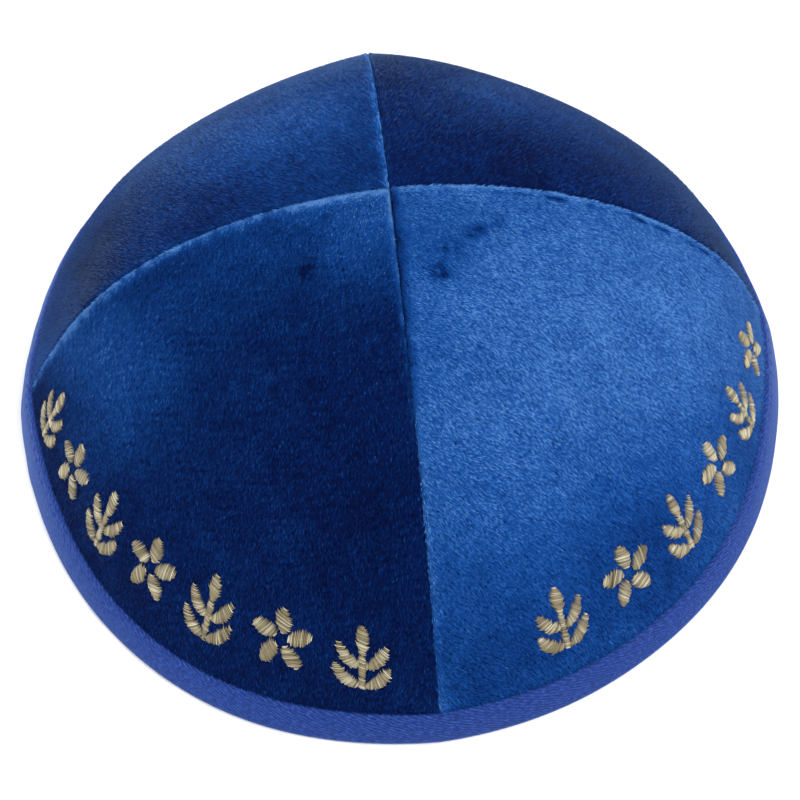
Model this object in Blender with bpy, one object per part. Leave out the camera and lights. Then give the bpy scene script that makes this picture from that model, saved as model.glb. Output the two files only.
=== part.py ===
"""A four-gore velvet skullcap at rest on its rim: four cloth panels that meet at the crown, and the woven tape
that is folded round their lower edge.

Metres, +Z up. The origin is the middle of the rim, on the surface that the cap rests on. The front seam is at
-Y. Left and right are as seen from the front, so +X is right. An azimuth is in degrees, from the front seam
towards the right. A rise is a place along the dome's meridian: 0 at the rim and 1 at the crown. A depth is how
far a face lies under the dome's outer face.
"""

from math import acos, cos, pi, radians, sin

import bmesh
import bpy

# The dome's outer face
RIM_RADIUS = 0.085
CROWN_HEIGHT = 0.058

# Where the crown stands in plan from the middle of the rim, which is a little out of round
CROWN_X = -0.0005
CROWN_Y = 0.001

# The velvet with its backing, and the same wall where the tape presses it flat
PANEL_THICKNESS = 0.0028
PRESSED_THICKNESS = 0.0011

# The woven tape, and the width of it that shows outside, measured up the dome from the fold
TAPE_THICKNESS = 0.001
TAPE_WIDTH = 0.0082

# Clearances between the panels at a seam, and between the tape and what it wraps
SEAM_GAP = 0.0003
TAPE_GAP = 0.0003

# The azimuths of the four seams
FRONT_SEAM = 0
RIGHT_SEAM = 90
BACK_SEAM = 180
LEFT_SEAM = 272.1

# How far the seams stand out from the middle of a gore, as a share of the dome's plan radius
CROWN_RIDGE = 0.129
RIM_RIDGE = 0.0155

# How far the middle of a gore bellies out again near the rim, as the same share
RIM_BELLY = 0.0114

# How the rim is out of round: waves in one turn, height as a share of RIM_RADIUS, azimuth of a crest
RIM_WAVES = (
    (2, 0.026, 0),
    (3, 0.0134, -7.6),
)

# How the tape's width varies: waves in one turn, height as a share of TAPE_WIDTH, azimuth of a crest
TAPE_WAVES = (
    (1, 0.10, 180),
    (2, 0.16, 90),
    (4, 0.14, 0),
)

# The four gores: name, azimuth of the seam it starts at, azimuth of the seam it ends at
GORES = (
    ("panel_front_right", FRONT_SEAM, RIGHT_SEAM),
    ("panel_back_right", RIGHT_SEAM, BACK_SEAM),
    ("panel_back_left", BACK_SEAM, LEFT_SEAM),
    ("panel_front_left", LEFT_SEAM, FRONT_SEAM + 360),
)

# Mesh fineness: cells from the crown down a panel, and sections of the tape in one gore
PANEL_CELLS = 22
TAPE_SECTIONS = 24

# Colours as 8-bit screen values: name of the piece, red, green, blue, roughness
FINISHES = {
    "panel_front_left": (14, 47, 106, 0.85),
    "panel_front_right": (30, 84, 160, 0.85),
    "panel_back_left": (16, 50, 108, 0.85),
    "panel_back_right": (11, 36, 84, 0.85),
    "rim_binding": (62, 80, 172, 0.7),
}

PRESSED_DEPTH = TAPE_THICKNESS + TAPE_GAP
PRESSED_INNER_DEPTH = PRESSED_DEPTH + PRESSED_THICKNESS
TAPE_INNER_DEPTH = PRESSED_INNER_DEPTH + TAPE_GAP


def waves(table, azimuth):
    """1 plus the table's cosine waves at an azimuth."""
    return 1 + sum(share * cos(count * radians(azimuth - crest)) for count, share, crest in table)


def meridian(depth):
    """The arc through the rim and the crown at a depth: its radius, its height and the angle that it spans."""
    rim = RIM_RADIUS - depth
    height = CROWN_HEIGHT - depth
    radius = (rim**2 + height**2) / (2 * height)
    return radius, height, acos(1 - height / radius)


def rise_at(height):
    """The rise at which the outer face is this high."""
    radius, crown, span = meridian(0)
    return 1 - acos(1 - (crown - height) / radius) / span


def rise_along(length):
    """The rise at this length up the outer face from the rim."""
    radius, _, span = meridian(0)
    return length / (radius * span)


def dome_point(gore, across, rise, depth):
    """The point of a gore at a share of its width across, from its first seam to its last.

    In plan the meridian's radius is multiplied by the rim's waves, by a ridge at each seam and by a belly between
    them. The ridge is 2/pi - sin(pi * across), which has its crests at the seams and averages nothing, and it
    grows from the rim to the crown. The belly is one cosine wave across the gore, and it fades towards the crown.
    """
    _, start, end = gore
    azimuth = start + (end - start) * across
    radius, crown, span = meridian(depth)
    fall = span * (1 - rise)
    ridge = RIM_RIDGE + (CROWN_RIDGE - RIM_RIDGE) * sin(pi / 2 * rise)
    seams = ridge * (2 / pi - sin(pi * across)) - RIM_BELLY * (1 - rise) * cos(2 * pi * across)
    plan = radius * sin(fall) * (waves(RIM_WAVES, azimuth) + seams)
    turn = radians(azimuth)
    return (CROWN_X + plan * sin(turn), CROWN_Y - plan * cos(turn), crown - radius * (1 - cos(fall)))


def tape_top(gore, across):
    """The rise of the tape's upper edge."""
    _, start, end = gore
    return rise_along(TAPE_WIDTH * waves(TAPE_WAVES, start + (end - start) * across))


def seam_shift(gore):
    """The small plan shift that keeps half of SEAM_GAP between a gore and each of its two seams."""
    _, start, end = gore
    inward = (radians(start + 90), radians(end - 90))
    half = SEAM_GAP / 2
    return (half * sum(sin(a) for a in inward), -half * sum(cos(a) for a in inward))


def wall_place(gore, across, row, inner):
    """The rise and depth of a point of a panel's wall, for a row of cells counted from the crown.

    The last two rows make the part that the tape wraps: a step at its upper edge, and then the panel's edge.
    """
    step_row = PANEL_CELLS - 2
    step = tape_top(gore, across) + rise_along(TAPE_GAP)
    if row == PANEL_CELLS:
        return rise_at(PRESSED_DEPTH), PRESSED_INNER_DEPTH if inner else PRESSED_DEPTH
    if row > step_row:
        return step, PRESSED_INNER_DEPTH if inner else PRESSED_DEPTH
    return 1 - (1 - step) * row / step_row, PANEL_THICKNESS if inner else 0


def panel_mesh(gore):
    """A panel's closed wall: a square grid and its copy, joined round the edge, and bent to the dome.

    One corner of the square is the crown, its two sides from there are the seams, and the other two are the rim.
    """
    mesh = bmesh.new()
    bmesh.ops.create_grid(mesh, x_segments=PANEL_CELLS, y_segments=PANEL_CELLS, size=PANEL_CELLS / 2)
    made = bmesh.ops.extrude_face_region(mesh, geom=mesh.faces[:], use_keep_orig=True)["geom"]
    inner = {vertex for vertex in made if isinstance(vertex, bmesh.types.BMVert)}
    shift_x, shift_y = seam_shift(gore)
    for vertex in mesh.verts:
        i = round(vertex.co.x + PANEL_CELLS / 2)
        j = round(vertex.co.y + PANEL_CELLS / 2)
        row = max(i, j)
        along = j if i == row else 2 * row - i
        across = along / (2 * row) if row else 0.5
        rise, depth = wall_place(gore, across, row, vertex in inner)
        x, y, z = dome_point(gore, across, rise, depth)
        vertex.co = (x + shift_x, y + shift_y, z)
    return mesh


def tape_section(gore, across):
    """The tape's section at one place: a U round the panel's edge, from its outer upper edge down and round."""
    top = tape_top(gore, across)
    fold = rise_at(TAPE_THICKNESS)
    bend = TAPE_THICKNESS * (1 - cos(pi / 4))
    inside = TAPE_INNER_DEPTH + TAPE_THICKNESS
    places = (
        (top, 0),
        ((top + fold) / 2, 0),
        (fold, 0),
        (rise_at(bend), bend),
        (0, TAPE_THICKNESS),
        (0, inside - TAPE_THICKNESS),
        (rise_at(bend), inside - bend),
        (fold, inside),
        ((top + fold) / 2, inside),
        (top, inside),
        (top, TAPE_INNER_DEPTH),
        ((top + fold) / 2, TAPE_INNER_DEPTH),
        (fold, TAPE_INNER_DEPTH),
        (fold, TAPE_THICKNESS),
        ((top + fold) / 2, TAPE_THICKNESS),
        (top, TAPE_THICKNESS),
    )
    return [dome_point(gore, across, rise, depth) for rise, depth in places]


def tape_mesh():
    """The tape as one closed ring, lofted through its sections all the way round."""
    mesh = bmesh.new()
    rings = [
        [mesh.verts.new(point) for point in tape_section(gore, step / TAPE_SECTIONS)]
        for gore in GORES
        for step in range(TAPE_SECTIONS)
    ]
    for here, there in zip(rings, rings[1:] + rings[:1]):
        for side in range(len(here)):
            mesh.faces.new((here[side - 1], here[side], there[side], there[side - 1]))
    return mesh


def finish(name):
    """The piece's own material, with its screen colour turned into a linear one."""
    red, green, blue, roughness = FINISHES[name]
    linear = [((value / 255 + 0.055) / 1.055) ** 2.4 for value in (red, green, blue)]
    material = bpy.data.materials.new(name)
    material.use_nodes = True
    shader = material.node_tree.nodes["Principled BSDF"]
    shader.inputs["Base Color"].default_value = (*linear, 1)
    shader.inputs["Roughness"].default_value = roughness
    shader.inputs["Metallic"].default_value = 0
    return material


def add_piece(name, mesh, collection):
    """Turns a bmesh into a named object with its material, smooth except at the wall's edges."""
    bmesh.ops.recalc_face_normals(mesh, faces=mesh.faces[:])
    data = bpy.data.meshes.new(name)
    mesh.to_mesh(data)
    mesh.free()
    data.shade_smooth()
    data.set_sharp_from_angle(angle=radians(40))
    data.materials.append(finish(name))
    collection.objects.link(bpy.data.objects.new(name, data))


def main():
    for item in list(bpy.data.objects):
        bpy.data.objects.remove(item, do_unlink=True)
    collection = bpy.data.collections.new("kippah_skullcap")
    bpy.context.scene.collection.children.link(collection)
    for gore in GORES:
        add_piece(gore[0], panel_mesh(gore), collection)
    add_piece("rim_binding", tape_mesh(), collection)


main()
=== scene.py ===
"""A blue velvet skullcap: four gores with a brushed pile, a twill tape round the rim, and gold embroidery.

Metres, +Z up. The front seam is at -Y, and left and right are as seen from the front. A place on the cap is
an azimuth in degrees from the front seam towards the right, a rise from 0 at the rim to 1 at the crown, and a
depth under the dome's outer face.
"""

from math import cos, pi, radians, sin, tan

import bpy
import numpy as np
from mathutils import Matrix, Vector


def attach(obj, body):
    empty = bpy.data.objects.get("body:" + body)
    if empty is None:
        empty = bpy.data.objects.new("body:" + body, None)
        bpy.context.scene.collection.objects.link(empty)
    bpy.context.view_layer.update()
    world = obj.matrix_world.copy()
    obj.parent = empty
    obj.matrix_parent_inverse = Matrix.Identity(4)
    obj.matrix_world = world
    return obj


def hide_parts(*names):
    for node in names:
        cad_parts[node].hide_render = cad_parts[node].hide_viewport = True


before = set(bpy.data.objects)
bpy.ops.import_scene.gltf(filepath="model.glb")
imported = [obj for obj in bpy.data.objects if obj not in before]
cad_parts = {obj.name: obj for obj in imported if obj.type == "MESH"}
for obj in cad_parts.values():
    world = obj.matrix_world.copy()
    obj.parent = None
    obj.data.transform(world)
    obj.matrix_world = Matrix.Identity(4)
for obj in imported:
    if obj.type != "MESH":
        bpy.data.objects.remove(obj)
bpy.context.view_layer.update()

# The dome, as the model has it
RIM_RADIUS = 0.085
CROWN_HEIGHT = 0.058
CROWN_X = -0.0005
CROWN_Y = 0.001
PANEL_THICKNESS = 0.0028
SEAMS = np.array((0, 90, 180, 272.1, 360))
CROWN_RIDGE = 0.129
RIM_RIDGE = 0.0155
RIM_BELLY = 0.0114
RIM_WAVES = ((2, 0.026, 0), (3, 0.0134, -7.6))

# Where the cloth sinks or swells: azimuth, rise, width in degrees, height in rise, share of the plan radius
HOLLOWS = (
    (-148, 0.60, 24, 0.20, -0.026),
    (180, 0.66, 13, 0.22, 0.018),
    (-167, 0.64, 8, 0.12, 0.016),
    (170, 0.41, 15, 0.18, 0.013),
    (148, 0.30, 14, 0.13, -0.006),
    (-150, 0.28, 14, 0.13, -0.004),
    (138, 0.58, 22, 0.22, -0.014),
    (-28, 0.42, 20, 0.18, -0.005),
    (48, 0.34, 22, 0.16, 0.005),
    (-104, 0.24, 20, 0.17, -0.023),
    (-130, 0.16, 15, 0.12, 0.009),
    (-110, 0.0, 14, 0.12, -0.005),
    (112, 0.36, 16, 0.15, 0.018),
    (118, 0.17, 18, 0.12, 0.006),
    (100, 0.12, 15, 0.13, -0.010),
    (-24, 0.0, 15, 0.14, 0.006),
    (30, 0.0, 12, 0.13, -0.003),
    (72, 0.0, 12, 0.13, -0.003),
)

# Two slow waves of the cloth: share of the plan radius, waves in one turn, and the degrees that the low one
# is turned by, or the radians that the winding one winds from rim to crown
LOW_WAVE = (0.0028, 5, 40)
WINDING_WAVE = (0.0022, 7, 9)

# The tape, as the model has it
TAPE_THICKNESS = 0.001
TAPE_INNER_DEPTH = 0.0027
TAPE_WIDTH = 0.0082
TAPE_WAVES = ((1, 0.10, 180), (2, 0.16, 90), (4, 0.14, 0))

# The tape's outer face: how far it puffs out over the model's face, how much more it swells in its middle,
# and how unevenly it lies, by height, wavelength and seed
TAPE_PUFF = 0.0004
TAPE_SWELL = 0.0002
TAPE_DRIFTS = ((0.00007, 0.012, 5),)

# Its upper edge turns in under the pile: how far under the model's face, and over how much of the width
TAPE_TURN_IN = 0.0003
TAPE_TURN_SHARE = 0.07

# The stitches that hold it lie in a line of dimples. The place and half width of the line are shares of the
# tape's width, and its depth between two stitches is a share of a dimple's
STITCH_PITCH = 0.003
STITCH_PLACE = 0.86
DIMPLE_HALF_WIDTH = 0.06
DIMPLE_DEPTH = 0.00026
DIMPLE_SHALLOW = 0.35

# A stitch: half its length, its radius, how far it slants up, how deep its ends lie and how high it arches
STITCH_HALF = 0.0008
STITCH_RADIUS = 0.00013
STITCH_SLANT = 0.00012
STITCH_DEPTH = 0.00005
STITCH_ARCH = 0.0002
STITCH_STEPS = 6
STITCH_SIDES = 5

# The tape's grid: places round the rim, rows down its outer face and up its inner one as shares of its width,
# and rows round half of its fold in degrees
TAPE_PLACES = 1260
TAPE_OUTER_ROWS = (1, 0.97, 0.93, 0.88, 0.83, 0.77, 0.68, 0.56, 0.42, 0.28, 0.12, 0.0)
TAPE_INNER_ROWS = (0.35, 0.7, 1.0)
FOLD_ROWS = (30, 60, 90)

# The velvet: how deep its ground lies under the tips of the pile, and how wide its edges roll into the seams
GROUND_DEPTH = 0.0006
SEAM_ROLL = 0.0007

# A gore's grid: rows, columns, columns in a rolled edge as shares of it, the most of the width that such an
# edge takes near the crown, and how far in rise the cloth reaches under the tape
PANEL_ROWS = 84
PANEL_COLUMNS = 84
ROLL_COLUMNS = (0, 0.15, 0.35, 0.6, 1.0)
ROLL_MOST = 0.12
PANEL_TUCK = 0.014

# The gores: number, fibres sown, mean tone, azimuth that the pile is brushed towards, its lean from upright,
# and the change of tone beside the first seam and the last: at the rim, at the crown, and how wide.
# The mean tone is painted light and shade: each gore's pile is lighter or darker as its brushing meets the
# light. The change beside a seam is painted highlight where it is up and painted shade where it is down.
GORES = {
    "front_right": (0, 150000, 0.735, 44, 64, ((0.10, -0.30, 0.0013), (0.10, 0.20, 0.0014))),
    "back_right": (1, 130000, 0.21, 120, 50, ((0.02, 0.02, 0.0010), (0.02, 0.04, 0.0010))),
    "back_left": (2, 130000, 0.34, 250, 50, ((0.20, 0.36, 0.0011), (0.10, 0.12, 0.0012))),
    "front_left": (3, 150000, 0.20, -12, 60, ((0.56, 0.52, 0.0019), (0.04, 0.32, 0.0008))),
}

# A fibre: its length and the range of it, its width, how far it is brushed down as a share of the way along,
# and how much its heading and its tilt vary, in degrees
FIBRE_LENGTH = 0.00066
FIBRE_RANGE = (0.7, 1.2)
FIBRE_WIDTH = 0.00016
BRUSHED_DOWN = 0.3
HEADING_SPREAD = 9
TILT_SPREAD = 7

# Slow swirls of the heading: degrees, wavelength and seed. The gore's own counts its seed on by its number
OWN_SWIRL = (7, 0.03, 21)
SHARED_SWIRLS = ((5, 0.008, 31),)

# Beside a seam: the pull into the seam, the degrees that a fibre is more upright, and how much longer it is
SEAM_PULL = 0.8
SEAM_UPRIGHT = 26
SEAM_LONGER = 0.2

# In the hem above the tape: its height, how much higher a fibre starts as a share of the ground's depth, the
# pull down over the tape, and how much shorter it is
HEM_HEIGHT = 0.0011
HEM_LIFT = 0.45
HEM_PULL = 0.6
HEM_SHORTER = 0.55

# Stray fibres: their share, and how many degrees more upright, how much longer and lighter they are
STRAY_SHARE = 0.002
STRAY_UPRIGHT = 22
STRAY_LONGER = 0.7
STRAY_LIGHTER = 0.25

# Fibres that shine: their share, and how much lighter they are
FLECK_SHARE = 0.07
FLECK_LIGHTER = 0.05

# A fibre is shaded as the dome is, but turned by these shares of its own way and of a random one across it
SHADING_LEAN = 0.5
SHADING_SPREAD = 0.32

# Painted light and shade on each gore's pile, in patches lighter or darker: azimuth, rise, reach, change of
# tone
PILE_LIGHT_AND_SHADE = {
    "front_right": (
        (40, 0.66, 0.034, 0.04),
        (72, 0.38, 0.018, 0.07),
        (8, 0.15, 0.022, -0.28),
        (36, 0.16, 0.019, -0.29),
        (62, 0.12, 0.013, -0.16),
        (5, 0.90, 0.012, -0.14),
        (4, 0.68, 0.008, -0.06),
        (4, 0.45, 0.010, -0.04),
        (55, 0.812, 0.0016, -0.30),
        (50, 0.818, 0.0013, -0.18),
        (19, 0.805, 0.0018, -0.27),
        (23, 0.797, 0.0014, -0.20),
        (33, 0.825, 0.0034, -0.14),
        (66, 0.79, 0.0020, -0.10),
    ),
    "front_left": (
        (-44, 0.93, 0.018, 0.46),
        (-76, 0.66, 0.013, 0.18),
        (-67, 0.38, 0.018, 0.34),
        (-82, 0.37, 0.012, 0.22),
        (-87, 0.25, 0.009, 0.26),
        (-8, 0.44, 0.012, -0.06),
        (-28, 0.22, 0.020, 0.05),
        (-47, 0.772, 0.0016, -0.20),
        (-44.5, 0.764, 0.0010, -0.20),
        (-57, 0.83, 0.0030, -0.12),
        (-69.5, 0.873, 0.0012, -0.20),
    ),
    "back_left": (
        (-98, 0.66, 0.011, -0.14),
        (-93, 0.40, 0.008, -0.10),
        (-148, 0.62, 0.024, 0.16),
        (-103, 0.34, 0.016, -0.22),
        (-163, 0.72, 0.011, 0.07),
        (-123, 0.70, 0.014, 0.08),
    ),
    "back_right": (
        (132, 0.52, 0.016, 0.12),
        (150, 0.58, 0.012, 0.10),
        (104, 0.76, 0.014, -0.06),
    ),
}

# A patch of less reach than this is painted shade of a small dent, with a ragged outline
DENT_SHADE_REACH = 0.004

# The rise where the painted light and shade beside a seam goes over from the rim's change to the
# crown's, and how gently
EDGE_RISE = 0.62
EDGE_BLEND = 0.05

# Random fields of the tone: height, wavelength, seed, and the number of waves if not the usual one. They are
# for the whole gore, the outlines of the painted dent shade, the painted light and shade at seam edges, the
# parting's painted shade and the tufts
TONE_DRIFTS = ((0.02, 0.05, 11), (0.018, 0.016, 12), (0.02, 0.006, 13))
DENT_SHADE_DRIFTS = ((0.5, 0.0022, 14),)
EDGE_DRIFTS = ((0.35, 0.004, 15), (0.12, 0.0011, 16, 40))
PARTING_DRIFTS = ((0.8, 0.004, 17),)
TUFT_DRIFTS = ((0.48, 0.0010, 41, 110), (1.2, 0.0005, 42, 110))

# How much the tone varies by tufts, less on a light gore, and from fibre to fibre, more where it is light
TUFT_CHANGE = 0.115
TUFT_FADE = 0.055
FIBRE_CHANGE = 0.06
FIBRE_GROWTH = 0.12

# How far tufts are drawn out the brushed way, from 0 to 1, and how far the tone is drawn towards the dark, by
# the gore's mean, as painted shade in the gaps between tufts
TUFT_COMBED = 0.7
GAP_SHADE_SKEW = 0.5

# The line where a gore's pile parts by its last seam, darkened there as painted shade: the gore, the way
# from the seam, the middle and half height of its run in rise, its drop of tone and half width, and its mean
# and most strength
PARTED_GORE = "front_right"
PARTING_PLACE = 0.0015
PARTING_RISE = 0.56
PARTING_HEIGHT = 0.26
PARTING_SHADE_DEPTH = 0.42
PARTING_WIDTH = 0.0005
PARTING_MEAN = 0.7
PARTING_MOST = 1.5

# The range of tones, and where a map starts and how far it runs along a fibre or thread, and to each side
TONE_RANGE = (0.01, 0.99)
MAP_START = 0.02
MAP_SPAN = 0.96
FIBRE_MAP_SPREAD = 0.003
THREAD_MAP_SPREAD = 0.004

# Stops of the velvet's colour from the darkest tone to the lightest, as screen values
VELVET_COLOURS = (
    (0, (0, 10, 46)),
    (0.2, (1, 27, 85)),
    (0.4, (7, 50, 116)),
    (0.6, (19, 75, 156)),
    (0.8, (42, 102, 186)),
    (1, (96, 154, 228)),
)

# The back of the cloth, the tape's twill and the gold thread, in the same way
BACKING_COLOURS = ((0, (14, 30, 74)), (0.5, (30, 56, 120)), (1, (50, 84, 160)))
TAPE_COLOURS = ((0, (13, 27, 75)), (0.5, (27, 51, 117)), (1, (54, 87, 164)))
GOLD_COLOURS = ((0, (90, 80, 54)), (0.5, (142, 130, 98)), (1, (216, 210, 182)))

# Painted shade along a thread: it darkens towards its ends, where they dip into the cloth
THREAD_SHADE = (
    (0, (120, 120, 120)),
    (0.2, (235, 235, 235)),
    (0.5, (255, 255, 255)),
    (0.8, (225, 225, 225)),
    (1, (120, 120, 120)),
)

# The embroidered bands: gore, azimuths of the first and last motif, and number of motifs; their foot's way up
# from the rim and their height
BANDS = (("front_left", -77, -9.5, 7), ("front_right", 18, 78, 6))
BAND_LOW = 0.0128
BAND_HEIGHT = 0.0128

# Satin strokes as shares of BAND_HEIGHT, from the middle of the foot: start, bend, end, half width, taper
SPRIG = (
    ((0, 0), (0, 0.3), (0, 0.68), 0.065, 0.1),
    ((0, 0.62), (0, 0.80), (0, 1.02), 0.12, 0.45),
    ((-0.04, 0.05), (-0.29, 0.07), (-0.40, 0.38), 0.115, 0.4),
    ((0.04, 0.05), (0.29, 0.07), (0.40, 0.38), 0.115, 0.4),
    ((-0.04, 0.37), (-0.25, 0.40), (-0.35, 0.72), 0.11, 0.4),
    ((0.04, 0.37), (0.25, 0.40), (0.35, 0.72), 0.11, 0.4),
)

# The flower, in the same shares: how high its middle is, and a petal's start, end, half width and taper
FLOWER_PETALS = 5
FLOWER_MIDDLE = 0.5
PETAL = (0.10, 0.48, 0.145, 0.45)

# Places along a stroke where the pile is cleared from under it, and how far inside its outline
CLEARING_STEPS = 24
CLEARING_INSET = 0.0001

# A stroke is all within this share of BAND_HEIGHT from its middle
STROKE_REACH = 0.8

# The satin threads: their pitch along a stroke, their radius, and how much their ends thin out
THREAD_PITCH = 0.00033
THREAD_RADIUS = 0.00015
THREAD_THINNING = 0.35
THREAD_STEPS = 7
THREAD_SIDES = 4

# The fewest threads of a stroke, half of the shortest one, and how half their length varies
THREADS_LEAST = 3
THREAD_HALF_LEAST = 0.0005
THREAD_HALF_SPREAD = 0.00016

# Their slant, as a share of the way across, and how it varies
THREAD_SLANT = 0.32
THREAD_SLANT_SPREAD = 0.03

# How high they arch, how much higher for half their length, how that varies, and how deep their ends dip in
THREAD_ARCH = 0.00031
THREAD_ARCH_GROWTH = 0.02
THREAD_ARCH_SPREAD = 0.000025
THREAD_DIP = 0.00025

# The gold's mean tone, its spread and its range, and the range of the tape's stitches
GOLD_TONE = 0.5
GOLD_TONE_SPREAD = 0.2
GOLD_TONE_RANGE = (0.02, 0.98)
STITCH_TONE_RANGE = (0.2, 0.8)

# An arch is the root of 1 - this share of a power, so that its ends don't stand upright
ARCH_SHARE = 0.98

# The camera: distance in rim radii, elevation, turn, pan, tilt and roll in degrees, and lens in millimetres
CAMERA_DISTANCE = 4.1285
CAMERA_ELEVATION = 51.97
CAMERA_TURN = -3.192
CAMERA_PAN = 0.045
CAMERA_TILT = -1.007
CAMERA_ROLL = -2.5
CAMERA_LENS = 71.99

# The stage: the floor's colour, half side and gap under the cap, the white world's strength, and the soft
# lights: name, place, side and power, turned to a point inside the cap
FLOOR_COLOUR = (244, 245, 247)
FLOOR_HALF = 3.0
FLOOR_GAP = 0.0001
WORLD_STRENGTH = 0.75
LIGHTS = (
    ("key", (0.5, -0.35, 0.9), 0.6, 9),
    ("fill", (-0.75, -0.2, 0.32), 0.6, 3.6),
    ("side", (0.85, 0.05, 0.22), 0.6, 2),
    ("back", (-0.35, 0.85, 0.55), 0.5, 4),
)
LIT_POINT = (0, 0, 0.03)


def linear(red, green, blue):
    """A colour given by its 8-bit screen values, as linear light."""
    return tuple(((value / 255 + 0.055) / 1.055) ** 2.4 for value in (red, green, blue))


def unit(vectors):
    """Vectors made one long."""
    return vectors / np.maximum(np.linalg.norm(vectors, axis=-1, keepdims=True), 1e-12)


def waves(table, azimuth):
    """1 plus the table's cosine waves: waves in one turn, height, azimuth of a crest."""
    return 1 + sum(share * np.cos(count * np.radians(azimuth - crest)) for count, share, crest in table)


def meridian(depth):
    """Radius, height and angle of the arc through the rim and the crown, at a depth."""
    rim = RIM_RADIUS - depth
    height = CROWN_HEIGHT - depth
    radius = (rim**2 + height**2) / (2 * height)
    return radius, height, np.arccos(1 - height / radius)


ARC_LENGTH = float(meridian(0)[0] * meridian(0)[2])


def unevenness(azimuth, rise):
    """The soft cloth's hollows and swells, as a share of the plan radius.

    They are the table's round bells, and two slow waves that fade to nothing at the rim and higher up.
    """
    share, count, turned = LOW_WAVE
    low = np.sin(2 * pi * np.clip(rise, 0, 0.5)) ** 2
    total = share * np.sin(np.radians(count * azimuth + turned)) * low
    share, count, wound = WINDING_WAVE
    whole = np.sin(pi * np.clip(rise, 0, 1))
    total = total + share * np.sin(np.radians(count * azimuth) + wound * rise) * whole
    for its_azimuth, its_rise, width, height, share in HOLLOWS:
        turned = (azimuth - its_azimuth + 180) % 360 - 180
        total = total + share * np.exp(-((turned / width) ** 2) - ((rise - its_rise) / height) ** 2)
    return total


def dome(azimuth, rise, depth):
    """Points of the dome: a circle's arc from rim to crown, turned round the axis.

    Its plan radius is multiplied by the rim's waves, by a ridge 2/pi - sin(pi * across) at the seams and by a
    belly -cos(2 * pi * across) between them, where across goes from 0 to 1 between two seams.
    """
    azimuth, rise, depth = np.broadcast_arrays(azimuth, rise, depth)
    turned = azimuth % 360
    gore = np.clip(np.searchsorted(SEAMS, turned, side="right") - 1, 0, 3)
    across = (turned - SEAMS[gore]) / (SEAMS[gore + 1] - SEAMS[gore])
    radius, height, span = meridian(depth)
    fall = span * (1 - rise)
    ridge = RIM_RIDGE + (CROWN_RIDGE - RIM_RIDGE) * np.sin(pi / 2 * rise)
    seams = ridge * (2 / pi - np.sin(pi * across)) - RIM_BELLY * (1 - rise) * np.cos(2 * pi * across)
    plan = radius * np.sin(fall) * (waves(RIM_WAVES, azimuth) + seams + unevenness(azimuth, rise))
    turn = np.radians(azimuth)
    z = height - radius * (1 - np.cos(fall))
    return np.stack((CROWN_X + plan * np.sin(turn), CROWN_Y - plan * np.cos(turn), z), axis=-1)


def directions(gore, azimuth, rise, depth):
    """Unit vectors along the rim, towards the crown and outwards, by small steps in azimuth and in rise.

    The place is moved a little inside its gore, so that no step crosses a seam or the crown.
    """
    turn_step, rise_step = 0.1, 0.002
    middle = (SEAMS[gore] + SEAMS[gore + 1]) / 2
    inside = middle + (azimuth - middle) * 0.994
    low = np.clip(rise, 0, 0.995)
    along = unit(dome(inside + turn_step, low, depth) - dome(inside - turn_step, low, depth))
    up = unit(dome(inside, low + rise_step, depth) - dome(inside, low - rise_step, depth))
    return along, up, unit(np.cross(along, up))


def gore_azimuth(gore, across):
    """The azimuth at a share of a gore's width, from its first seam."""
    return SEAMS[gore] + (SEAMS[gore + 1] - SEAMS[gore]) * across


def gore_width(gore, rise):
    """A gore's width at a rise, along the arc."""
    radius, _, span = meridian(0)
    return radius * np.sin(span * (1 - rise)) * radians(SEAMS[gore + 1] - SEAMS[gore])


def seam_distances(gore, azimuth, rise):
    """How far a place is from its gore's first seam and from its last."""
    across = (azimuth - SEAMS[gore]) / (SEAMS[gore + 1] - SEAMS[gore])
    width = gore_width(gore, rise)
    return across * width, (1 - across) * width


def seam_roll(distance):
    """How far a gore's edge rolls down into its seam at a distance from it: a quarter circle."""
    inside = np.clip(1 - distance / SEAM_ROLL, 0, 1)
    return SEAM_ROLL * (1 - np.sqrt(1 - inside**2))


def tape_top(azimuth):
    """The rise of the tape's upper edge."""
    return TAPE_WIDTH * waves(TAPE_WAVES, azimuth) / ARC_LENGTH


def rise_at(height):
    """The rise at which the outer face is this high."""
    radius, crown, span = meridian(0)
    return float(1 - np.arccos(1 - (crown - height) / radius) / span)


def drift(points, size, seed, count=14):
    """A smooth random field from about -1 to 1: sine waves of about one length in random directions."""
    random = np.random.default_rng(seed)
    ways = unit(random.normal(size=(count, 3))) * (2 * pi / size) * random.uniform(0.7, 1.4, (count, 1))
    starts = random.uniform(0, 2 * pi, count)
    return np.sin(points @ ways.T + starts).sum(axis=-1) / np.sqrt(count)


def drifts(points, table):
    """The sum of a table's random fields, each times its height."""
    return sum(height * drift(points, *field) for height, *field in table)


def skewed(values, share):
    """Values spread about 0, drawn out towards the low side by a share of their square."""
    return values - share * (values**2 - 1)


def make_mesh(name, points, faces, materials, slots=None):
    """An object from an array of points and arrays of faces, riding on the cap."""
    mesh = bpy.data.meshes.new(name)
    listed = [face for group in faces for face in group.tolist()]
    mesh.from_pydata(points.reshape(-1, 3).tolist(), [], listed)
    for finish in materials:
        mesh.materials.append(finish)
    if slots is not None:
        mesh.polygons.foreach_set("material_index", slots.astype(np.int32))
    mesh.polygons.foreach_set("use_smooth", np.full(len(listed), True))
    mesh.update()
    piece = bpy.data.objects.new(name, mesh)
    bpy.context.scene.collection.objects.link(piece)
    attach(piece, "root")
    return piece


def corner_points(mesh):
    """The number of the point at each corner of a mesh's faces."""
    corners = np.empty(len(mesh.loops), np.int32)
    mesh.loops.foreach_get("vertex_index", corners)
    return corners


def add_map(piece, name, places):
    """A map of the piece's surface, from one place for each of its points."""
    places = places.reshape(-1, 2)[corner_points(piece.data)]
    piece.data.uv_layers.new(name=name).data.foreach_set("uv", places.ravel())


def add_tone_maps(piece, places):
    """The map that the colour is read from, and the same one for baking."""
    add_map(piece, "Tone", places)
    add_map(piece, "OFBake", places)


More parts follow.
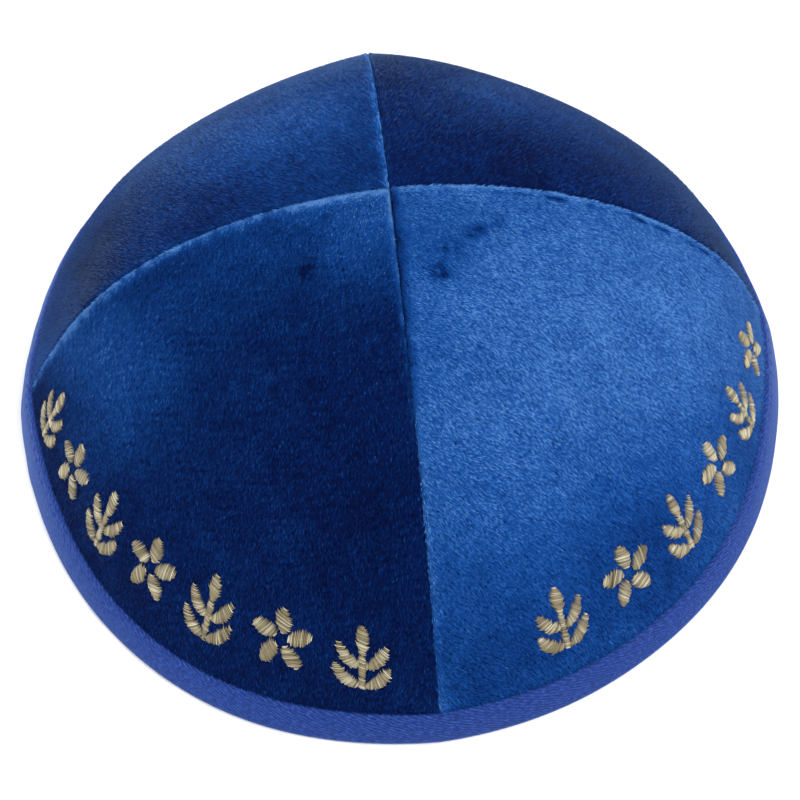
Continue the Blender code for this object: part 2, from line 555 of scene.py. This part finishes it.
def quads(rows, columns, wrap=False):
    """Faces of a grid of points, numbered row by row, with its columns closed round if it wraps."""
    across = np.arange(columns if wrap else columns - 1)
    row, column = np.meshgrid(np.arange(rows - 1), across, indexing="ij")
    after = (column + 1) % columns
    low, high = row * columns, (row + 1) * columns
    return np.stack((low + column, low + after, high + after, high + column), axis=-1).reshape(-1, 4)


def tube_faces(count, steps, sides, turned=False):
    """Faces of many closed tubes, made of rings of points: sides and ends, wound the other way if turned."""
    ring = np.arange(sides)
    round_it = quads(steps, sides, wrap=True)
    ends = np.stack((ring[::-1], ring + sides * (steps - 1)))
    if turned:
        round_it, ends = round_it[:, ::-1], ends[:, ::-1]
    first = (steps * sides * np.arange(count))[:, None, None]
    return (round_it + first).reshape(-1, 4), (ends + first).reshape(-1, sides)


def tube_grid(steps, sides):
    """Where a tube's points lie: from -1 to 1 along it, and the angle round it."""
    along = np.linspace(-1, 1, steps)[None, :, None]
    turn = (np.arange(sides) * 2 * pi / sides)[None, None, :]
    return along, turn


def add_tube_maps(piece, tone, along, turn):
    """The tone maps of many tubes, from a tone for each of them."""
    tone = tone[:, None, None] + THREAD_MAP_SPREAD * np.cos(turn)
    place = (along + 1) / 2 * MAP_SPAN + MAP_START
    add_tone_maps(piece, np.stack(np.broadcast_arrays(tone, place), axis=-1))


def material(name, colour, roughness, sheen=0.0, sheen_roughness=0.4, sheen_tint=(1, 1, 1), specular=0.5):
    """A Principled material with plain values on its own sockets."""
    made = bpy.data.materials.new(name)
    made.use_nodes = True
    shader = made.node_tree.nodes["Principled BSDF"]
    shader.inputs["Base Color"].default_value = (*colour, 1)
    shader.inputs["Roughness"].default_value = roughness
    shader.inputs["Sheen Weight"].default_value = sheen
    shader.inputs["Sheen Roughness"].default_value = sheen_roughness
    shader.inputs["Sheen Tint"].default_value = (*sheen_tint, 1)
    shader.inputs["Specular IOR Level"].default_value = specular
    return made


def add_ramp(nodes, stops):
    """A colour ramp whose stops are places and screen colours."""
    ramp = nodes.new("ShaderNodeValToRGB")
    for place, _ in stops[1:-1]:
        ramp.color_ramp.elements.new(place)
    for element, (place, colour) in zip(ramp.color_ramp.elements, stops):
        element.position = place
        element.color = (*linear(*colour), 1)
    return ramp


def map_reader(made, name):
    """The two coordinates of a piece's own map, as separate outputs."""
    nodes, links = made.node_tree.nodes, made.node_tree.links
    place = nodes.new("ShaderNodeUVMap")
    place.uv_map = name
    split = nodes.new("ShaderNodeSeparateXYZ")
    links.new(place.outputs["UV"], split.inputs["Vector"])
    return split.outputs["X"], split.outputs["Y"]


def turned_map(made, name, angle):
    """A piece's own map, turned by an angle in degrees."""
    nodes = made.node_tree.nodes
    place = nodes.new("ShaderNodeUVMap")
    place.uv_map = name
    turned = nodes.new("ShaderNodeMapping")
    turned.inputs["Rotation"].default_value = (0, 0, radians(angle))
    made.node_tree.links.new(place.outputs["UV"], turned.inputs["Vector"])
    return turned.outputs["Vector"]


def add_range(made, value, low, high):
    """A value from 0 to 1 stretched to run from low to high."""
    stretched = made.node_tree.nodes.new("ShaderNodeMapRange")
    stretched.inputs["To Min"].default_value = low
    stretched.inputs["To Max"].default_value = high
    made.node_tree.links.new(value, stretched.inputs["Value"])
    return stretched.outputs["Result"]


def add_noise(made, scale, detail=2.0):
    """Noise on Object coordinates."""
    nodes, links = made.node_tree.nodes, made.node_tree.links
    place = nodes.new("ShaderNodeTexCoord")
    noise = nodes.new("ShaderNodeTexNoise")
    noise.inputs["Scale"].default_value = scale
    noise.inputs["Detail"].default_value = detail
    links.new(place.outputs["Object"], noise.inputs["Vector"])
    return noise.outputs["Fac"]


def add_math(made, operation, first, second):
    """Two values brought together by an operation."""
    nodes, links = made.node_tree.nodes, made.node_tree.links
    together = nodes.new("ShaderNodeMath")
    together.operation = operation
    links.new(first, together.inputs[0])
    links.new(second, together.inputs[1])
    return together.outputs["Value"]


def link_colour(made, colour, *factors):
    """Puts a colour times its factors on the shader's base colour."""
    nodes, links = made.node_tree.nodes, made.node_tree.links
    for factor in factors:
        product = nodes.new("ShaderNodeVectorMath")
        product.operation = "MULTIPLY"
        links.new(colour, product.inputs[0])
        links.new(factor, product.inputs[1])
        colour = product.outputs["Vector"]
    links.new(colour, nodes["Principled BSDF"].inputs["Base Color"])


def link_bump(made, height, strength, distance):
    """Puts a bump of this height on the shader's normal."""
    nodes, links = made.node_tree.nodes, made.node_tree.links
    bump = nodes.new("ShaderNodeBump")
    bump.inputs["Strength"].default_value = strength
    bump.inputs["Distance"].default_value = distance
    links.new(height, bump.inputs["Height"])
    links.new(bump.outputs["Normal"], nodes["Principled BSDF"].inputs["Normal"])


def velvet_material(name, darkest, lightest):
    """The velvet's blue, by the tone on its map, with painted shade along each fibre: darker at the root than
    the tip.
    """
    made = material(
        name,
        linear(16, 52, 110),
        roughness=0.75,
        sheen=0.52,
        sheen_roughness=0.2,
        sheen_tint=linear(108, 136, 164),
        specular=0.03,
    )
    tone, along = map_reader(made, "Tone")
    ramp = add_ramp(made.node_tree.nodes, VELVET_COLOURS)
    made.node_tree.links.new(tone, ramp.inputs["Fac"])
    link_colour(made, ramp.outputs["Color"], add_range(made, along, darkest, lightest))
    return made


def ground_material():
    """The velvet's woven ground between the fibres: its blue in shade, with a fine grain."""
    made = velvet_material("velvet_ground", darkest=0.45, lightest=0.75)
    link_bump(made, add_noise(made, scale=900, detail=3.0), strength=0.5, distance=0.0003)
    return made


def weave(made, map_name, pitch, angle):
    """Threads of a weave: sine bands across a map in metres, with this pitch, turned by this angle.

    The texture has 20 radians of its sine to a metre at scale 1.
    """
    nodes, links = made.node_tree.nodes, made.node_tree.links
    bands = nodes.new("ShaderNodeTexWave")
    bands.inputs["Scale"].default_value = 2 * pi / (20 * pitch)
    bands.inputs["Distortion"].default_value = 3.0
    bands.inputs["Detail"].default_value = 2
    links.new(turned_map(made, map_name, angle), bands.inputs["Vector"])
    return bands.outputs["Fac"]


def streaks(made, map_name, along, across, angle):
    """Uneven yarns of a weave: noise on a map in metres, turned by this angle and stretched to this grain."""
    nodes, links = made.node_tree.nodes, made.node_tree.links
    stretched = nodes.new("ShaderNodeVectorMath")
    stretched.operation = "MULTIPLY"
    stretched.inputs[1].default_value = (1 / along, 1 / across, 1)
    grain = nodes.new("ShaderNodeTexNoise")
    grain.inputs["Scale"].default_value = 1
    grain.inputs["Detail"].default_value = 3
    links.new(turned_map(made, map_name, angle), stretched.inputs[0])
    links.new(stretched.outputs["Vector"], grain.inputs["Vector"])
    return grain.outputs["Fac"]


def backing_material():
    """The plain woven back of the cloth, inside the cap: threads of two directions."""
    made = material(
        "cloth_backing",
        linear(*BACKING_COLOURS[1][1]),
        roughness=0.85,
        sheen=0.2,
        sheen_tint=linear(60, 90, 150),
        specular=0.1,
    )
    warp = weave(made, "Cloth", pitch=0.0006, angle=0)
    weft = weave(made, "Cloth", pitch=0.0006, angle=90)
    both = add_math(made, "MULTIPLY", warp, weft)
    ramp = add_ramp(made.node_tree.nodes, BACKING_COLOURS)
    made.node_tree.links.new(both, ramp.inputs["Fac"])
    mottle = add_range(made, add_noise(made, scale=60), low=0.75, high=1.2)
    link_colour(made, ramp.outputs["Color"], mottle)
    link_bump(made, both, strength=0.5, distance=0.0002)
    return made


def tape_material():
    """Blue-violet twill: fine slanted ribs, painted highlight on their crests, uneven yarns and a soft
    mottle.
    """
    made = material(
        "twill_tape",
        linear(26, 55, 130),
        roughness=0.7,
        sheen=0.45,
        sheen_roughness=0.35,
        sheen_tint=linear(130, 165, 220),
        specular=0.08,
    )
    # The ribs lighten the colour on their crests as painted highlight
    ribs = add_range(made, weave(made, "Tape", pitch=0.0007, angle=66), low=0, high=0.24)
    yarns = streaks(made, "Tape", along=0.0010, across=0.0004, angle=-24)
    twill = add_math(made, "ADD", ribs, add_range(made, yarns, low=-0.2, high=1.0))
    ramp = add_ramp(made.node_tree.nodes, TAPE_COLOURS)
    made.node_tree.links.new(twill, ramp.inputs["Fac"])
    mottle = add_range(made, add_noise(made, scale=1900, detail=3.0), low=0.5, high=1.5)
    link_colour(made, ramp.outputs["Color"], mottle)
    link_bump(made, twill, strength=0.6, distance=0.0002)
    return made


def thread_material(name, stops, roughness, specular):
    """Sewing thread: its colour by the tone on its map, with painted shade where its ends go into the cloth.
    """
    made = material(name, linear(*stops[1][1]), roughness, specular=specular)
    nodes, links = made.node_tree.nodes, made.node_tree.links
    tone, along = map_reader(made, "Tone")
    ramp, shade = add_ramp(nodes, stops), add_ramp(nodes, THREAD_SHADE)
    links.new(tone, ramp.inputs["Fac"])
    links.new(along, shade.inputs["Fac"])
    link_colour(made, ramp.outputs["Color"], shade.outputs["Color"])
    return made


def parting(points, gore, azimuth, rise):
    """How much painted shade darkens the parting: a broken line by the last seam, faded at both ends."""
    away = seam_distances(gore, azimuth, rise)[1] - PARTING_PLACE
    broken = np.clip(PARTING_MEAN + drifts(points, PARTING_DRIFTS), 0, PARTING_MOST)
    run = np.exp(-(((rise - PARTING_RISE) / PARTING_HEIGHT) ** 4))
    return PARTING_SHADE_DEPTH * broken * run * np.exp(-((away / PARTING_WIDTH) ** 2))


def velvet_tone(name, azimuth, rise):
    """Pile tone, 0 to 1: slow drifts, and painted light and shade in the mean, patches, seam edges and
    parting.
    """
    gore, _, mean, _, _, edges = GORES[name]
    points = dome(azimuth, rise, 0)
    # The gore's mean tone is painted light and shade of its brushed nap
    tone = mean + drifts(points, TONE_DRIFTS)
    for its_azimuth, its_rise, reach, change in PILE_LIGHT_AND_SHADE[name]:
        away = np.linalg.norm(points - dome(its_azimuth, its_rise, 0), axis=-1)
        # Small patches are painted shade of dents, with ragged outlines
        ragged = 1 + drifts(points, DENT_SHADE_DRIFTS) * (reach < DENT_SHADE_REACH)
        tone = tone + change * ragged * np.exp(-((away / reach) ** 2))
    # Painted highlight and shade on the rolled edges beside the seams
    high = 1 / (1 + np.exp(-(rise - EDGE_RISE) / EDGE_BLEND))
    ragged = 1 + drifts(points, EDGE_DRIFTS)
    for distance, (low_change, high_change, reach) in zip(seam_distances(gore, azimuth, rise), edges):
        change = low_change + (high_change - low_change) * high
        tone = tone + change * ragged * np.exp(-((distance / reach) ** 2))
    # Painted shade in the pile's parting
    if name == PARTED_GORE:
        tone = tone - parting(points, gore, azimuth, rise)
    return np.clip(tone, *TONE_RANGE)


def crowned(grid):
    """A grid's values row by row, with the last row, which is all crown, as one."""
    return np.concatenate((grid[:-1].reshape(-1, grid.shape[-1]), grid[-1:, 0]))


def panel_faces(rows, columns):
    """Faces of a gore's outer side, its inner side and the wall round its edge, and the slot of each face.

    Both sides are grids up to the last row but one, and fans of triangles from there to the crown.
    """
    crown = (rows - 1) * columns
    back = crown + 1
    grid = quads(rows - 1, columns)
    last = (rows - 2) * columns + np.arange(columns - 1)
    fan = np.stack((last, last + 1, np.full(columns - 1, crown)), axis=-1)
    first = np.arange(columns - 1)
    right = np.arange(rows - 1) * columns + columns - 1
    left = np.arange(rows - 2, 0, -1) * columns
    ring = np.concatenate((first, right, [crown], left))
    follow = np.roll(ring, -1)
    wall = np.stack((ring, ring + back, follow + back, follow), axis=-1)
    faces = (grid, fan, grid[:, ::-1] + back, fan[:, ::-1] + back, wall)
    return faces, np.repeat((0, 0, 1, 1, 1), [len(group) for group in faces])


def velvet_panel(name, ground, backing):
    """A gore's cloth: its outer and inner faces on one grid, joined round the edge, rolled in at the seams.

    The grid's rows go from under the tape up to the crown. Its columns cross the gore, with a few close ones
    in each rolled edge.
    """
    gore = GORES[name][0]
    edge = np.array(ROLL_COLUMNS)
    steps = np.linspace(0, 1, PANEL_ROWS)[:, None]
    middle = np.linspace(0, 1, PANEL_COLUMNS)[None, 1:-1]
    share = np.minimum(SEAM_ROLL / gore_width(gore, steps * 0.999), ROLL_MOST)
    inside = share + (1 - 2 * share) * middle
    across = np.concatenate((share * edge, inside, 1 - share * edge[::-1]), axis=1)
    azimuth = gore_azimuth(gore, across)
    low = tape_top(azimuth) - PANEL_TUCK
    rise = low + (1 - low) * steps
    distance = np.minimum(*seam_distances(gore, azimuth, rise))
    outer = dome(azimuth, rise, GROUND_DEPTH + seam_roll(distance))
    inner = dome(azimuth, rise, PANEL_THICKNESS)
    tone = velvet_tone(name, azimuth, rise)
    faces, slots = panel_faces(*across.shape)
    points = np.concatenate((crowned(outer), crowned(inner)))
    piece = make_mesh("velvet_" + name, points, faces, (ground, backing), slots)
    toned = crowned(np.stack((tone, np.full_like(tone, 0.5)), axis=-1))
    cloth = crowned(np.stack((across * gore_width(gore, 0.3), rise * ARC_LENGTH), axis=-1))
    add_map(piece, "Tone", np.concatenate((toned, toned)))
    add_map(piece, "Cloth", np.concatenate((cloth, cloth)))
    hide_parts("panel_" + name)
    return piece


def pile_roots(name, strokes, random):
    """Azimuths and rises of a gore's fibres: even by area, above the tape and outside the embroidery."""
    gore, count = GORES[name][:2]
    span = meridian(0)[2]
    fall = np.arccos(1 - random.uniform(0, 1, count) * (1 - np.cos(span)))
    rise = 1 - fall / span
    azimuth = gore_azimuth(gore, random.uniform(0, 1, count))
    keep = rise > tape_top(azimuth)
    keep[keep] = ~under_strokes(dome(azimuth[keep], rise[keep], GROUND_DEPTH), strokes)
    return azimuth[keep], rise[keep]


def pile_tone(name, azimuth, rise, root, heading, stray, random):
    """Each fibre's tone: the velvet's at its place, varied by tufts along the brushing and by the fibre."""
    mean = GORES[name][2]
    # Painted shade in the gaps between tufts draws the tone towards the dark
    gap_shade_skew = GAP_SHADE_SKEW * mean
    fleck = random.uniform(0, 1, len(rise)) < FLECK_SHARE
    combed = root - TUFT_COMBED * (root @ heading)[:, None] * heading
    tone = velvet_tone(name, azimuth, rise)
    tone = tone + (TUFT_CHANGE - TUFT_FADE * mean) * skewed(drifts(combed, TUFT_DRIFTS), gap_shade_skew)
    own = skewed(random.normal(0, 1, len(rise)), gap_shade_skew)
    tone = tone + (FIBRE_CHANGE + FIBRE_GROWTH * tone) * own
    return np.clip(tone + FLECK_LIGHTER * fleck + STRAY_LIGHTER * stray, *TONE_RANGE)


def velvet_pile(name, fibre, strokes):
    """A gore's pile: each fibre is a thin triangle that leans the way the pile is brushed.

    A fibre is its root's two corners, across the lean, and its tip. Beside a seam it leans into the seam, and
    above the tape it starts higher and leans over it. All faces look outwards.
    """
    gore, _, _, brushed, lean, _ = GORES[name]
    random = np.random.default_rng(100 + gore)
    azimuth, rise = pile_roots(name, strokes, random)
    count = len(rise)
    from_first, from_last = seam_distances(gore, azimuth, rise)
    distance = np.minimum(from_first, from_last)
    hem = np.clip(1 - (rise - tape_top(azimuth)) * ARC_LENGTH / HEM_HEIGHT, 0, 1)
    root = dome(azimuth, rise, GROUND_DEPTH * (1 - HEM_LIFT * hem) + seam_roll(distance))
    along, up, out = directions(gore, azimuth, rise, GROUND_DEPTH)
    heading = unit(np.array((sin(radians(brushed)), -cos(radians(brushed)), -BRUSHED_DOWN)))
    flat = unit(heading - (out @ heading)[:, None] * out)
    near = np.exp(-((distance / SEAM_ROLL) ** 2))
    inwards = np.where(from_first < from_last, -near, near)[:, None]
    flat = unit(flat + SEAM_PULL * inwards * along - HEM_PULL * hem[:, None] * up)
    side = np.cross(out, flat)
    degrees, size, seed = OWN_SWIRL
    swirl = degrees * drift(root, size, seed + gore) + drifts(root, SHARED_SWIRLS)
    swirl = np.radians(swirl + random.normal(0, HEADING_SPREAD, count))[:, None]
    flat, side = flat * np.cos(swirl) + side * np.sin(swirl), side * np.cos(swirl) - flat * np.sin(swirl)
    stray = random.uniform(0, 1, count) < STRAY_SHARE
    tilt = lean + random.normal(0, TILT_SPREAD, count) - SEAM_UPRIGHT * near - STRAY_UPRIGHT * stray
    tilt = np.radians(tilt)[:, None]
    length = FIBRE_LENGTH * random.uniform(*FIBRE_RANGE, count) * (1 + STRAY_LONGER * stray)
    length = (length * (1 + SEAM_LONGER * near - HEM_SHORTER * hem))[:, None]
    way = out * np.cos(tilt) + flat * np.sin(tilt)
    half = side * FIBRE_WIDTH / 2
    points = np.stack((root - half, root + half, root + way * length), axis=1)
    normal = np.cross(points[:, 1] - points[:, 0], points[:, 2] - points[:, 0])
    inward = np.einsum("ij,ij->i", normal, out) < 0
    faces = np.arange(3 * count).reshape(-1, 3)
    faces[inward] = faces[inward][:, ::-1]
    tone = pile_tone(name, azimuth, rise, root, heading, stray, random)
    piece = make_mesh("pile_" + name, points, (faces,), (fibre,))
    shading = unit(out + SHADING_LEAN * way + SHADING_SPREAD * side * random.normal(0, 1, (count, 1)))
    piece.data.normals_split_custom_set_from_vertices(np.repeat(shading, 3, axis=0).tolist())
    middle = np.stack((tone, np.full(count, MAP_START)), axis=-1)
    aside = (FIBRE_MAP_SPREAD, 0)
    add_tone_maps(piece, np.stack((middle - aside, middle + aside, middle + (0, MAP_SPAN)), axis=1))
    return piece


def flower_strokes():
    """A flower's petals, as strokes from near its middle outwards, at even turns with one straight up."""
    near, far, half, taper = PETAL
    reaches = (near, (near + far) / 2, far)
    turns = [2 * pi * petal / FLOWER_PETALS for petal in range(FLOWER_PETALS)]
    return [
        (*((reach * sin(turn), FLOWER_MIDDLE + reach * cos(turn)) for reach in reaches), half, taper)
        for turn in turns
    ]


def band_strokes(band):
    """The strokes of one band: for each, the azimuth of its motif's middle and its shape.

    Leaf sprigs and flowers take turns, at even steps.
    """
    _, start, end, count = band
    motifs = (SPRIG, flower_strokes())
    return [
        (middle, stroke)
        for step, middle in enumerate(np.linspace(start, end, count))
        for stroke in motifs[step % 2]
    ]


def band_place(middle, x, y, lift):
    """The dome's point at a motif's place: x along the rim, y up from the band's foot, lift off the cloth."""
    rise = (BAND_LOW + y) / ARC_LENGTH
    radius, _, span = meridian(0)
    turned = middle + np.degrees(x / (radius * np.sin(span * (1 - rise)) * waves(RIM_WAVES, middle)))
    return dome(turned, rise, GROUND_DEPTH - lift)


def stroke_line(stroke, count):
    """Places, directions and half widths down a stroke.

    The line is a quadratic curve, and its half width goes as sin(pi * t) to the taper's power, t from 0 to 1.
    """
    start, bend, end, half, taper = stroke
    start, bend, end = (np.array(place, float) * BAND_HEIGHT for place in (start, bend, end))
    t = ((np.arange(count) + 0.5) / count)[:, None]
    places = (1 - t) ** 2 * start + 2 * t * (1 - t) * bend + t**2 * end
    ways = unit(2 * (1 - t) * (bend - start) + 2 * t * (end - bend))
    return places, ways, half * BAND_HEIGHT * np.sin(pi * t[:, 0]) ** taper


def stroke_length(stroke):
    """A stroke's length, as the mean of its straight way and its way by the bend."""
    start, bend, end = (np.array(place, float) * BAND_HEIGHT for place in stroke[:3])
    return (np.linalg.norm(bend - start) + np.linalg.norm(end - bend) + np.linalg.norm(end - start)) / 2


def under_strokes(roots, strokes):
    """Which roots lie under a stroke: nearer to its middle line than its half width."""
    covered = np.zeros(len(roots), bool)
    for middle, stroke in strokes:
        places, _, halves = stroke_line(stroke, CLEARING_STEPS)
        line = band_place(middle, places[:, 0], places[:, 1], 0)
        centre = line[CLEARING_STEPS // 2]
        near = np.flatnonzero(np.linalg.norm(roots - centre, axis=1) < STROKE_REACH * BAND_HEIGHT)
        away = np.linalg.norm(roots[near, None] - line[None], axis=2) - halves
        covered[near] |= away.min(axis=1) < -CLEARING_INSET
    return covered


def satin_threads(name, strokes, gold):
    """The band's stitches: threads side by side across each stroke, arched up and dipping in at their ends.

    A thread is a tube round a path across the stroke. With u from -1 to 1 along it, it arches as the root of
    1 - u to the sixth, and thins out as u to the fourth.
    """
    random = np.random.default_rng(len(strokes))
    u, turn = tube_grid(THREAD_STEPS, THREAD_SIDES)
    thick = THREAD_RADIUS * (1 - THREAD_THINNING * u**4)
    arc = (1 - ARCH_SHARE * u**6) ** 0.5
    tubes = []
    for middle, stroke in strokes:
        count = max(THREADS_LEAST, round(stroke_length(stroke) / THREAD_PITCH))
        places, ways, halves = stroke_line(stroke, count)
        halves = np.maximum(halves, THREAD_HALF_LEAST) + random.normal(0, THREAD_HALF_SPREAD, count)
        slant = THREAD_SLANT + random.normal(0, THREAD_SLANT_SPREAD, count)
        normals = np.stack((-ways[:, 1], ways[:, 0]), axis=-1)
        over = (normals + slant[:, None] * ways) * halves[:, None]
        arch = THREAD_ARCH + THREAD_ARCH_GROWTH * halves + random.normal(0, THREAD_ARCH_SPREAD, count)
        lift = (arch[:, None, None] + THREAD_DIP) * arc - THREAD_DIP
        aside = (thick * np.cos(turn))[..., None] * ways[:, None, None]
        path = places[:, None, None] + over[:, None, None] * u[..., None] + aside
        tubes.append(band_place(middle, path[..., 0], path[..., 1], lift + thick * np.sin(turn)))
    points = np.concatenate(tubes)
    count = len(points)
    faces = tube_faces(count, THREAD_STEPS, THREAD_SIDES)
    piece = make_mesh("embroidery_" + name, points, faces, (gold,))
    tone = np.clip(GOLD_TONE + GOLD_TONE_SPREAD * random.normal(0, 1, count), *GOLD_TONE_RANGE)
    add_tube_maps(piece, tone, u, turn)
    return piece


def stitch_count():
    """How many stitches hold the tape."""
    return round(2 * pi * RIM_RADIUS / STITCH_PITCH)


def tape_outer_rings(azimuth, top, fold):
    """Rings of points down the tape's outer face, which swells between its edges.

    The line of dimples is a bell across the tape, with a cosine to the fourth along it for each stitch.
    """
    share = np.array(TAPE_OUTER_ROWS)[:, None]
    rise = fold + (top - fold) * share
    line = np.exp(-(((share - STITCH_PLACE) / DIMPLE_HALF_WIDTH) ** 2))
    beat = np.cos(stitch_count() / 2 * np.radians(azimuth)) ** 4
    dimple = DIMPLE_DEPTH * line * (DIMPLE_SHALLOW + beat)
    loose = drifts(dome(azimuth, rise, 0), TAPE_DRIFTS)
    turning = np.clip((share - (1 - TAPE_TURN_SHARE)) / TAPE_TURN_SHARE, 0, 1) ** 2
    turned_in = (TAPE_PUFF + TAPE_TURN_IN) * turning
    depth = -TAPE_PUFF - TAPE_SWELL * np.sin(pi * share) + dimple + turned_in + loose
    return dome(azimuth, rise, depth)


def tape_inner_rings(azimuth, top, fold):
    """Rings of points round the tape's fold, up its inner face, and back down and up inside the U."""
    inside = TAPE_INNER_DEPTH + TAPE_THICKNESS
    bends = {angle: TAPE_THICKNESS * (1 - cos(radians(angle))) for angle in (0, *FOLD_ROWS)}
    rises = {angle: rise_at(TAPE_THICKNESS * (1 - sin(radians(angle)))) for angle in bends}
    places = [(rises[angle], bends[angle] - TAPE_PUFF * cos(radians(angle))) for angle in FOLD_ROWS]
    places += [(rises[angle], inside - bends[angle]) for angle in (*reversed(FOLD_ROWS), 0)]
    places += [(fold + (top - fold) * share, inside) for share in TAPE_INNER_ROWS]
    places += [(top, TAPE_INNER_DEPTH), (fold, TAPE_INNER_DEPTH)]
    places += [(fold, TAPE_THICKNESS), (top, TAPE_THICKNESS)]
    return [dome(azimuth, rise, depth) for rise, depth in places]


def add_tape_map(piece, points):
    """The tape's map in metres, round the rim and round its section, which both end where they start."""
    rows, turns = points.shape[:2]
    across = np.linalg.norm(np.diff(points, axis=0, append=points[:1]), axis=2).mean(axis=1)
    height = np.concatenate(([0], np.cumsum(across)))
    corners = corner_points(piece.data)
    row, column = corners // turns, corners % turns
    face = np.arange(len(corners)) // 4
    wrapped = (column.reshape(-1, 4).max(axis=1)[face] == turns - 1) & (column == 0)
    closed = (row.reshape(-1, 4).max(axis=1)[face] == rows - 1) & (row == 0)
    along = (column + turns * wrapped) * 2 * pi * RIM_RADIUS / turns
    places = np.stack((along, height[np.where(closed, rows, row)]), axis=-1)
    piece.data.uv_layers.new(name="Tape").data.foreach_set("uv", places.ravel())


def rim_tape(cloth):
    """The tape round the rim: its section, a U round the panels' edge, at many azimuths."""
    azimuth = (180 + np.arange(TAPE_PLACES) * 360 / TAPE_PLACES)[None, :]
    top = tape_top(azimuth)
    fold = rise_at(TAPE_THICKNESS)
    points = np.concatenate((tape_outer_rings(azimuth, top, fold), *tape_inner_rings(azimuth, top, fold)))
    rows = len(points)
    grid = quads(rows, TAPE_PLACES, wrap=True)
    first = np.arange(TAPE_PLACES)
    after = (first + 1) % TAPE_PLACES
    last = (rows - 1) * TAPE_PLACES
    close = np.stack((last + first, last + after, after, first), axis=-1)
    piece = make_mesh("rim_tape", points, (grid[:, ::-1], close[:, ::-1]), (cloth,))
    add_tape_map(piece, points)
    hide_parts("rim_binding")
    return piece


def tape_stitches(thread):
    """The stitches that hold the tape: short arched tubes along it in the dimples."""
    count = stitch_count()
    u, turn = tube_grid(STITCH_STEPS, STITCH_SIDES)
    middle = (180 + np.arange(count) * 360 / count)[:, None, None]
    azimuth = middle + np.degrees(STITCH_HALF / RIM_RADIUS) * u + 0 * turn
    fold = rise_at(TAPE_THICKNESS)
    rise = fold + (tape_top(azimuth) - fold) * STITCH_PLACE
    rise = rise + (STITCH_RADIUS * np.cos(turn) + STITCH_SLANT * u) / ARC_LENGTH
    depth = STITCH_DEPTH - STITCH_ARCH * np.sqrt(1 - ARCH_SHARE * u**2) - STITCH_RADIUS * np.sin(turn)
    points = dome(azimuth, rise, depth)
    faces = tube_faces(count, STITCH_STEPS, STITCH_SIDES, turned=True)
    piece = make_mesh("tape_stitches", points, faces, (thread,))
    add_tube_maps(piece, np.random.default_rng(7).uniform(*STITCH_TONE_RANGE, count), u, turn)
    return piece


def add_camera():
    """The camera, turned about the cap, and then panned, tilted and rolled a little."""
    distance = CAMERA_DISTANCE * RIM_RADIUS
    elevation, turn = radians(CAMERA_ELEVATION), radians(CAMERA_TURN)
    pan, tilt, roll = radians(CAMERA_PAN), radians(CAMERA_TILT), radians(CAMERA_ROLL)
    place = distance * Vector((sin(turn) * cos(elevation), -cos(turn) * cos(elevation), sin(elevation)))
    ahead = -place.normalized()
    right = ahead.cross(Vector((0, 0, 1))).normalized()
    ahead = (ahead + tan(pan) * right + tan(tilt) * right.cross(ahead)).normalized()
    right = ahead.cross(Vector((0, 0, 1))).normalized()
    up = right.cross(ahead)
    rolled_right = cos(roll) * right + sin(roll) * up
    rolled_up = cos(roll) * up - sin(roll) * right
    data = bpy.data.cameras.new("camera")
    data.lens = CAMERA_LENS
    data.clip_start = 0.01
    camera = bpy.data.objects.new("camera", data)
    frame_matrix = Matrix((rolled_right, rolled_up, -ahead)).transposed().to_4x4()
    frame_matrix.translation = place + Vector((CROWN_X, CROWN_Y, 0))
    camera.matrix_world = frame_matrix
    bpy.context.scene.collection.objects.link(camera)
    bpy.context.scene.camera = camera


def add_floor():
    """A plain pale floor just under the cap."""
    corners = [(x * FLOOR_HALF, y * FLOOR_HALF, -FLOOR_GAP) for x, y in ((-1, -1), (1, -1), (1, 1), (-1, 1))]
    mesh = bpy.data.meshes.new("floor")
    mesh.from_pydata(corners, [], [(0, 1, 2, 3)])
    mesh.materials.append(material("floor", linear(*FLOOR_COLOUR), roughness=0.8, specular=0.1))
    floor = bpy.data.objects.new("floor", mesh)
    bpy.context.scene.collection.objects.link(floor)


def add_light():
    """A white world, and square soft lights turned to the cap."""
    world = bpy.data.worlds.new("studio")
    world.use_nodes = True
    world.node_tree.nodes["Background"].inputs["Color"].default_value = (1, 1, 1, 1)
    world.node_tree.nodes["Background"].inputs["Strength"].default_value = WORLD_STRENGTH
    bpy.context.scene.world = world
    for name, place, side, power in LIGHTS:
        data = bpy.data.lights.new(name, "AREA")
        data.shape = "SQUARE"
        data.size = side
        data.energy = power
        light = bpy.data.objects.new(name, data)
        light.location = place
        light.rotation_euler = (Vector(LIT_POINT) - Vector(place)).to_track_quat("-Z", "Y").to_euler()
        bpy.context.scene.collection.objects.link(light)
    bpy.context.scene.view_settings.view_transform = "Standard"


def main():
    add_camera()
    ground = ground_material()
    backing = backing_material()
    # Painted shade along each fibre: darker at its root, lighter at its tip
    fibre = velvet_material("velvet_pile", darkest=0.52, lightest=1.2)
    gold = thread_material("gold_thread", GOLD_COLOURS, roughness=0.3, specular=0.6)
    sewing = thread_material("blue_thread", TAPE_COLOURS, roughness=0.5, specular=0.3)
    tape = rim_tape(tape_material())
    stitches = tape_stitches(sewing)
    for name in GORES:
        strokes = [stroke for band in BANDS if band[0] == name for stroke in band_strokes(band)]
        gore = velvet_panel(name, ground, backing)
        on_it = [velvet_pile(name, fibre, strokes)]
        if strokes:
            on_it.append(satin_threads(name, strokes, gold))
    add_floor()
    add_light()


main()
